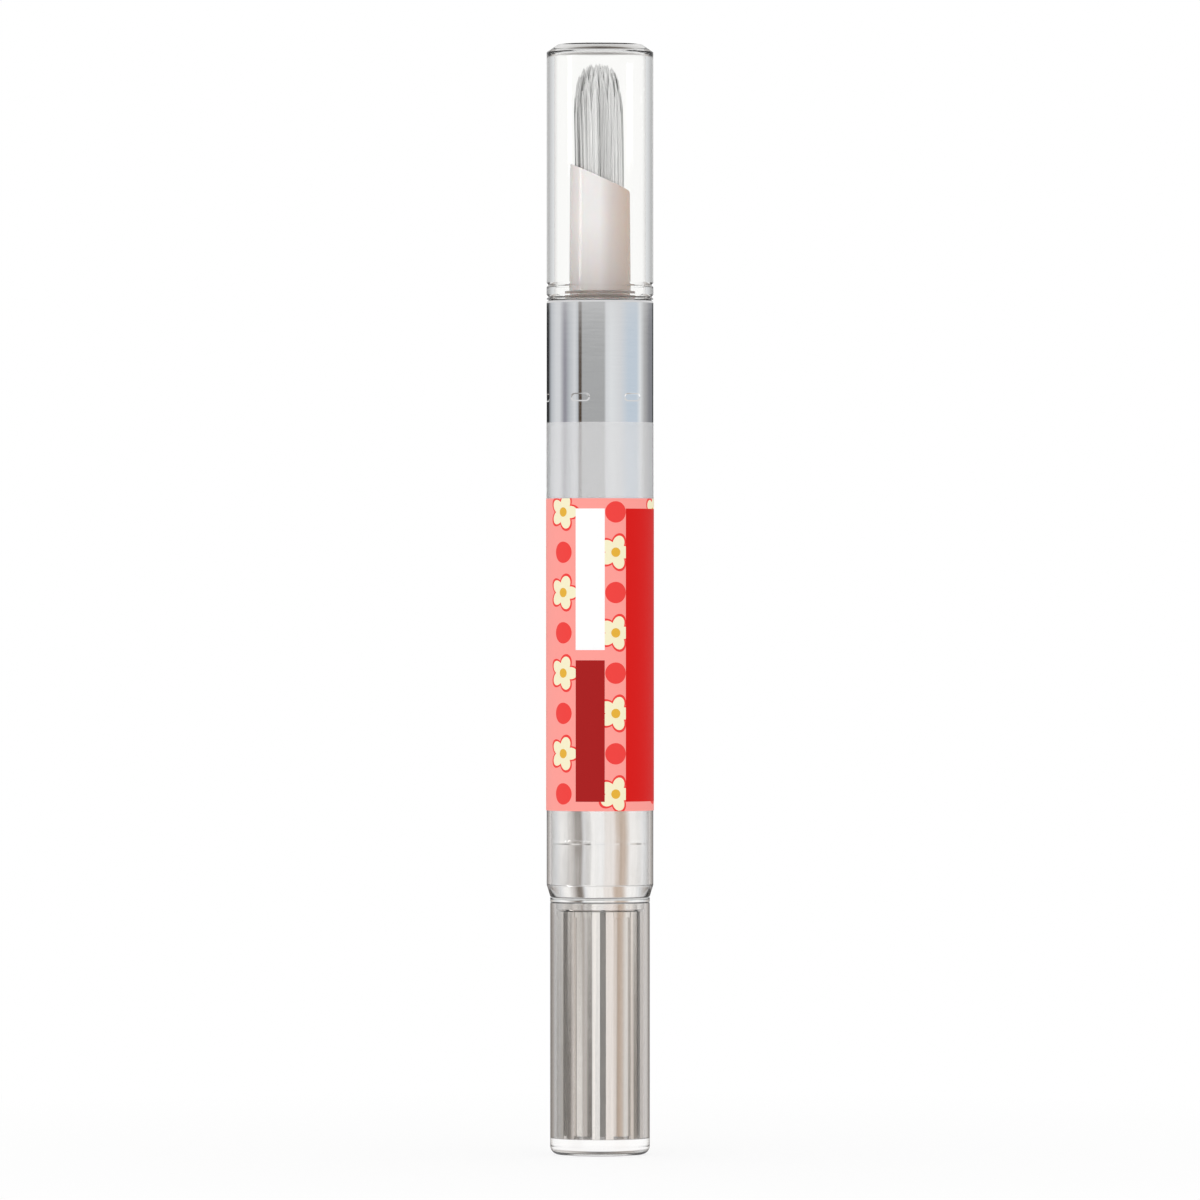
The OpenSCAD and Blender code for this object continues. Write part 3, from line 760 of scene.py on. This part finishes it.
def copied(node):
    """A copy of a CAD node's mesh with its seams merged."""
    bm = bmesh.new()
    bm.from_mesh(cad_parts[node].data)
    bmesh.ops.remove_doubles(bm, verts=bm.verts, dist=1e-6)
    return bm


# Sections of the rim between two rib pairs, and of the thin wall behind a pair's slot. Both start
# below the sleeve's upper edge
RIM_OUTLINE = [
    (SLEEVE_WALL_R, RIM_ROOT),
    (SLEEVE_R, RIM_ROOT),
    (SLEEVE_R, RIM_FOOT),
    (RIM_R, RIM_FOOT),
    (RIM_R, RIB_TOP),
    (SLEEVE_WALL_R, RIB_TOP),
]
WALL_OUTLINE = [
    (SLEEVE_WALL_R, RIM_ROOT),
    (SLOT_FLOOR_R, RIM_ROOT),
    (SLOT_FLOOR_R, RIB_TOP),
    (SLEEVE_WALL_R, RIB_TOP),
]


def swept(bm, outline, start, sweep):
    """Adds a section swept round the pen's axis, from one angle and by another, in degrees."""
    across, along = math.cos(math.radians(start)), math.sin(math.radians(start))
    face = bm.faces.new([bm.verts.new((r * MM * across, r * MM * along, z * MM)) for r, z in outline])
    bmesh.ops.spin(
        bm,
        geom=[face],
        cent=(0, 0, 0),
        axis=(0, 0, 1),
        angle=math.radians(sweep),
        steps=12,
        use_duplicate=False,
    )


def rimmed_sleeve():
    """The ribbed sleeve, with a low rim between its rib pairs and a thin wall behind each slot, at its
    upper end."""
    bm = copied("drive_sleeve")
    pitch = 360 / RIBS
    pair = math.degrees(RIB_W / SLEEVE_R)
    for i in range(RIBS):
        start = math.degrees(FRONT) + RIB_TURN + i * pitch + pair / 2
        swept(bm, RIM_OUTLINE, start, pitch - pair)
        swept(bm, WALL_OUTLINE, start - pair, pair)
    bmesh.ops.recalc_face_normals(bm, faces=bm.faces)
    return bm


def calm_housing():
    """The ratchet housing, with its snap bead lowered to a faint line and its snap groove filled."""
    bm = copied("ratchet_housing")
    bead_half, bead_left = 0.5, 0.03
    groove_half, groove_depth = 0.35, 0.3
    groove_z = KNOB_TOP - groove_half
    for vert in bm.verts:
        radius = math.hypot(vert.co.x, vert.co.y) / MM
        height = vert.co.z / MM
        wanted = radius
        if abs(height - HOUSING_BEAD) < bead_half and radius > HOUSING_R:
            wanted = HOUSING_R + bead_left * (radius - HOUSING_R)
        if abs(height - groove_z) < groove_half and radius > JOURNAL_R - groove_depth:
            wanted = JOURNAL_R
        vert.co.x *= wanted / radius
        vert.co.y *= wanted / radius
    return bm


piece("ribbed_drive_sleeve", rimmed_sleeve(), "knob", silver_drive, ["drive_sleeve"])
piece("ratchet_body", calm_housing(), "barrel", silver_housing, ["ratchet_housing"])

COPIES = [
    ("pawl_wheel", "pawl_ring", "knob", natural_acetal, "natural_acetal"),
    ("thread_nut", "drive_nut", "barrel", natural_acetal, "natural_acetal"),
    ("piston_pin", "screw_shaft", "screw", screw_plastic, "screw_plastic"),
    ("piston_hard_core", "piston_core", "piston", screw_plastic, "screw_plastic"),
    ("piston_soft_seal", "piston_seal", "piston", seal_plastic, "seal_polyethylene"),
    ("funnel_plug", "neck_plug", "barrel", painted_shade_acetal, "natural_acetal"),
    ("plug_o_ring", "neck_seal", "barrel", seal_rubber, "seal_rubber"),
    ("resin_root", "bristle_root", "barrel", root_resin, "root_resin"),
    ("oil_feed_tube", "feed_tube", "barrel", feed_steel, "feed_steel"),
]
for name, node, body, material, slot in COPIES:
    piece(name, copied(node), body, material, [node])


# ---------------------------------------------------------------- bristles


def lay_bristles():
    """A round tuft of fine strands that draw together towards a blunt tip, which parts into small
    locks. Each strand keeps its tone, with painted shade on the tuft's sides, as an attribute."""
    rng = random.Random(11)
    tuft_r, hole_r, gap, strand_r, points = 2.84, 0.93, 0.145, 0.07, 9
    root_up = 0.3
    lock_count, lock_spread = 90, 2.7
    askew_cos, askew_sin, jitter = 0.96, 0.28, 0.02
    narrow_from, lean = 122.3, 0.25
    # Locks are where strands draw together: x, y, lightness, shortness
    locks = [
        (rng.uniform(-1, 1) * lock_spread, rng.uniform(-1, 1) * lock_spread, rng.random(), rng.random())
        for _ in range(lock_count)
    ]
    strands = bpy.data.curves.new("bristle_strands", "CURVE")
    strands.dimensions = "3D"
    strands.bevel_depth = strand_r * MM
    strands.bevel_resolution = 0
    strands.use_fill_caps = True
    root_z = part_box("bristle_tuft")[0].z / MM + root_up
    reach = int(tuft_r / gap) + 2
    tones = []
    for row in range(-reach, reach + 1):
        for col in range(-reach, reach + 1):
            grid_x, grid_y = (col + row % 2 / 2) * gap, row * gap * 0.866
            # The rows stand askew to the front, so no row shows there as a flat face
            x = askew_cos * grid_x - askew_sin * grid_y + rng.uniform(-1, 1) * jitter
            y = askew_sin * grid_x + askew_cos * grid_y + rng.uniform(-1, 1) * jitter
            off = math.hypot(x, y) / tuft_r
            if not hole_r / tuft_r < off < 1:
                continue
            lock = min(locks, key=lambda p: (p[0] - x) ** 2 + (p[1] - y) ** 2)
            lock_x, lock_y, lightness, shortness = lock
            # A domed tip, lower at the edges of the tuft and of each lock
            dome = 0.9 * off * off + 2.6 * off**8
            lock_end = 0.5 * shortness + 1.2 * math.hypot(lock_x - x, lock_y - y)
            tip_z = TUFT_TIP - dome - lock_end - abs(rng.gauss(0, 0.1))
            # Painted shade: the locks on the left are greyed much, and those on the right a little
            side = lock_x / tuft_r
            side_shade = 1.5 * max(0, -side - 0.2) + 0.65 * max(0, side - 0.3)
            tones.append(0.66 + 0.12 * lightness + 0.26 * rng.random() - side_shade)
            pull = rng.uniform(0.45, 0.65)
            sway, phase = rng.uniform(0, 0.04), rng.uniform(0, math.tau)
            spline = strands.splines.new("POLY")
            spline.points.add(points - 1)
            for i, point in enumerate(spline.points):
                t = 1 - (1 - i / (points - 1)) ** 1.6
                z = root_z + (tip_z - root_z) * t
                drawn_in = 1 - 0.2 * max(0, (z - narrow_from) / 5) ** 1.9
                locked = pull * max(0, (t - 0.86) / 0.14) ** 1.5
                wave = phase + 5 * t
                px = (x + (lock_x - x) * locked) * drawn_in + sway * math.sin(wave) * t - lean * t * t
                py = (y + (lock_y - y) * locked) * drawn_in + sway * math.cos(wave) * t
                point.co = (px * MM, py * MM, z * MM, 1)
                point.radius = 1 - 0.6 * max(0, (t - 0.9) / 0.1)
    made = bpy.data.objects.new("bristle_strands", strands)
    bpy.context.scene.collection.objects.link(made)
    bpy.context.view_layer.update()
    mesh = bpy.data.meshes.new_from_object(made.evaluated_get(bpy.context.evaluated_depsgraph_get()))
    bpy.data.objects.remove(made)
    tuft = bmesh.new()
    tuft.from_mesh(mesh)
    each = len(tuft.verts) // len(tones)
    tone = tuft.verts.layers.float.new("strand_tone_and_shade")
    for vert in tuft.verts:
        vert[tone] = tones[vert.index // each]
    # The strands' end caps join their walls
    bmesh.ops.remove_doubles(tuft, verts=tuft.verts, dist=3e-7)
    bmesh.ops.recalc_face_normals(tuft, faces=tuft.faces)
    return tuft


tuft = lay_bristles()
piece("brush_tuft", tuft, "barrel", bristle_nylon, ["bristle_tuft"], sharp=100)


# ---------------------------------------------------------------- floor, light and camera

FLOOR_TONE = "#f4f4f4"


def pale_floor():
    """A plain pale round floor that keeps the pen's faint shadow and fades into the white background.
    Gloss and clear plastic don't see it, so the studio's tall bands run on below the pen."""
    radius, fade, drop = 400.0, 150.0, 0.02
    bm = bmesh.new()
    bmesh.ops.create_circle(bm, cap_ends=True, segments=96, radius=radius * MM)
    mesh = bpy.data.meshes.new("studio_floor")
    bm.to_mesh(mesh)
    bm.free()
    floor = bpy.data.objects.new("studio_floor", mesh)
    floor.location.z = -drop * MM
    floor.visible_glossy = False
    floor.visible_transmission = False
    bpy.context.scene.collection.objects.link(floor)
    material = bpy.data.materials.new("pale_studio_floor")
    material.use_nodes = True
    tree = material.node_tree
    tree.nodes.clear()
    # White emission takes over from the shadowed floor towards the rim
    spread = mapped(tree, from_axis(tree), 0.0, fade, 0.8)
    pale = add(tree, "ShaderNodeBsdfDiffuse", {"Color": colour(FLOOR_TONE)}).outputs[0]
    white = add(tree, "ShaderNodeEmission", {"Color": (1, 1, 1, 1), "Strength": 1.0}).outputs[0]
    add(tree, "ShaderNodeOutputMaterial", {"Surface": mix(tree, spread, pale, white)})
    mesh.materials.append(material)


# Tones of the studio that gloss shows, from dark to light
FLAG = "#2c2d2e"
BROWN = "#4a3d31"
LOAM = "#58524c"
TAUPE = "#7a736c"
DUSK = "#85868a"
STONE = "#8f8984"
SLATE = "#94939b"
DOVE = "#9e9994"
UMBER = "#a4978d"
MID = "#a8a9a9"
GREY = "#b2b2b2"
WARM = "#c3b2a4"
ASH = "#bdb9b6"
MIST = "#bcc0c4"
SAND = "#cfc8c2"
SKY = "#c4d0db"
PALE = "#d9dbdd"
IVORY = "#e8e3df"
FROST = "#e3e6e7"
CREAM = "#efeceb"
WHITE = "#f4f4f3"

# Soft boxes and flags round the pen, by what shows them: degrees from its front and the tone there
COLLAR_BAND = [
    (-180, FLAG),
    (-148, FLAG),
    (-130, MIST),
    (-110, PALE),
    (-98, PALE),
    (-84, SLATE),
    (-80, SLATE),
    (-70, MIST),
    (-56, PALE),
    (-49, MIST),
    (-46, BROWN),
    (-41, BROWN),
    (-39, MID),
    (9, MID),
    (13, PALE),
    (24, FROST),
    (44, PALE),
    (64, SKY),
    (86, SKY),
    (97, FROST),
    (112, GREY),
    (134, DUSK),
    (150, DUSK),
    (164, FLAG),
    (180, FLAG),
]
FOOT_BAND = [
    (-180, DUSK),
    (-172, DUSK),
    (-165, STONE),
    (-146, ASH),
    (-116, PALE),
    (-98, WHITE),
    (-84, WHITE),
    (-67, ASH),
    (-59, STONE),
    (-55, TAUPE),
    (-49, TAUPE),
    (-45, STONE),
    (-38, PALE),
    (-28, WHITE),
    (8, WHITE),
    (12, IVORY),
    (30, IVORY),
    (40, WARM),
    (58, WARM),
    (76, WHITE),
    (100, WHITE),
    (120, PALE),
    (142, ASH),
    (165, STONE),
    (172, DUSK),
    (180, DUSK),
]
KNOB_BAND = [
    (-180, LOAM),
    (-165, TAUPE),
    (-150, STONE),
    (-135, GREY),
    (-122, MID),
    (-98, DOVE),
    (-94, LOAM),
    (-79, LOAM),
    (-73, ASH),
    (-65, WHITE),
    (-50, WHITE),
    (-46, ASH),
    (-37, ASH),
    (-31, LOAM),
    (-22, LOAM),
    (-19, WHITE),
    (6, PALE),
    (20, CREAM),
    (44, CREAM),
    (47, UMBER),
    (52, WARM),
    (64, SAND),
    (69, FROST),
    (74, FROST),
    (78, SAND),
    (90, SAND),
    (94, TAUPE),
    (106, TAUPE),
    (112, WHITE),
    (120, ASH),
    (150, ASH),
    (180, LOAM),
]
CAP_BAND = [(-180, GREY), (-150, PALE), (-120, WHITE), (120, WHITE), (150, PALE), (180, GREY)]


# Where one set of boxes gives way to the next: the Z of a ray's direction, from -1 down to 1 up
LOW_SHEET = -0.3
HIGH_SHEET = 0.3
KNOB_END = -0.0322
OPEN_FOOT_END = -0.02
OPEN_COLLAR_END = 0.032
CASED_FOOT_END = 0.028
CAP_END = 0.07

# The narrow box beside the brush: its foot and top as a ray's Z, and its sides in degrees
STRIP_Z = (0.044, 0.064)
STRIP_SIDES = (-86, -73)


def studio_world():
    """White background, even soft light, and the soft boxes and flags that only gloss shows."""
    world = bpy.data.worlds.new("white_studio")
    bpy.context.scene.world = world
    world.use_nodes = True
    tree = world.node_tree
    tree.nodes.clear()
    ray = axes(tree, "Generated")
    azimuth = maths(tree, "ARCTAN2", ray["X"], maths(tree, "MULTIPLY", ray["Y"], -1.0))
    place = maths(tree, "MULTIPLY_ADD", azimuth, 1 / math.tau, 0.5)

    def band(stops, strength):
        """A background whose tone changes with the direction round the pen."""
        tones = ramp(tree, place, [((angle + 180) / 360, code) for angle, code in stops])
        return add(tree, "ShaderNodeBackground", {"Color": tones, "Strength": strength}).outputs[0]

    def above(height, lower, upper, blur=0.003):
        """One background below a height and another above it."""
        return mix(tree, mapped(tree, ray["Z"], height - blur, height + blur), lower, upper)

    def plain(strength):
        """A white background."""
        white = {"Color": (1, 1, 1, 1), "Strength": strength}
        return add(tree, "ShaderNodeBackground", white).outputs[0]

    path = add(tree, "ShaderNodeLightPath").outputs
    cased = maths(tree, "GREATER_THAN", path["Transmission Depth"], 0.5)
    # The collar shows one set of boxes, the metal at the pen's foot another, and the sleeve in the knob
    # a third. Boxes of the cap's own stand beside it, and pale sheets lie under and over everything
    collar_boxes = band(COLLAR_BAND, 1.0)
    foot_boxes = band(FOOT_BAND, 1.22)
    cap_boxes = band(CAP_BAND, 1.0)
    sheet = plain(0.85)
    upper = above(OPEN_COLLAR_END, collar_boxes, plain(0.7), blur=0.0006)
    open_boxes = above(LOW_SHEET, plain(0.35), above(OPEN_FOOT_END, foot_boxes, upper), blur=0.1)
    foot = above(KNOB_END, band(KNOB_BAND, 1.15), foot_boxes, blur=0.0004)
    cased_boxes = above(CASED_FOOT_END, foot, above(CAP_END, cap_boxes, foot_boxes))
    cased_boxes = above(LOW_SHEET, sheet, above(HIGH_SHEET, cased_boxes, sheet), blur=0.1)
    # A narrow bright box beside the brush, whose reflection is the white line down the ferrule
    between_sides = inside(tree, maths(tree, "DEGREES", azimuth), *STRIP_SIDES)
    strip = maths(tree, "MULTIPLY", inside(tree, ray["Z"], *STRIP_Z), between_sides)
    cased_boxes = mix(tree, strip, cased_boxes, plain(11.0))
    boxes = mix(tree, cased, open_boxes, cased_boxes)
    unmirrored = maths(tree, "LESS_THAN", path["Glossy Depth"], 0.5)
    through = maths(tree, "MULTIPLY", path["Is Transmission Ray"], unmirrored)
    direct = maths(tree, "MAXIMUM", path["Is Camera Ray"], through)
    mirrored = maths(tree, "LESS_THAN", path["Diffuse Depth"], 0.5)
    # Matt surfaces get more light through the clear pieces, to make up for what each clear wall turns
    # away
    soft = plain(between(tree, cased, 0.94, 1.7))
    lit = mix(tree, mirrored, soft, boxes)
    add(tree, "ShaderNodeOutputWorld", {"Surface": mix(tree, direct, lit, plain(1.0))})


def soft_box(name, place, target, size, power):
    """A soft area lamp at a place in metres, facing a target. Gloss sees the world's boxes in its
    place."""
    data = bpy.data.lights.new(name, "AREA")
    data.shape = "RECTANGLE"
    data.size, data.size_y = size
    data.energy = power
    lamp = bpy.data.objects.new(name, data)
    lamp.location = place
    lamp.rotation_euler = (Vector(place) - Vector(target)).to_track_quat("Z", "Y").to_euler()
    lamp.visible_glossy = False
    bpy.context.scene.collection.objects.link(lamp)


pale_floor()
studio_world()
soft_box(
    "key_soft_box", place=(-0.45, -1.0, 0.8), target=(0, 0, 0.065), size=(0.8, 0.8), power=1.6
)

# The camera's distance and height, in metres, and its lens
CAMERA_AWAY = 1.15
CAMERA_HEIGHT = 0.06493
FOCAL_LENGTH = 294.4

lens = bpy.data.cameras.new("product_camera")
lens.sensor_width = 36.0
lens.lens = FOCAL_LENGTH
lens.clip_start = 0.05
lens.clip_end = 20.0
camera = bpy.data.objects.new("product_camera", lens)
camera.location = (0.0, -CAMERA_AWAY, CAMERA_HEIGHT)
camera.rotation_euler = (math.radians(90), 0, 0)
bpy.context.scene.collection.objects.link(camera)
bpy.context.scene.camera = camera
bpy.context.scene.view_settings.view_transform = "Standard"
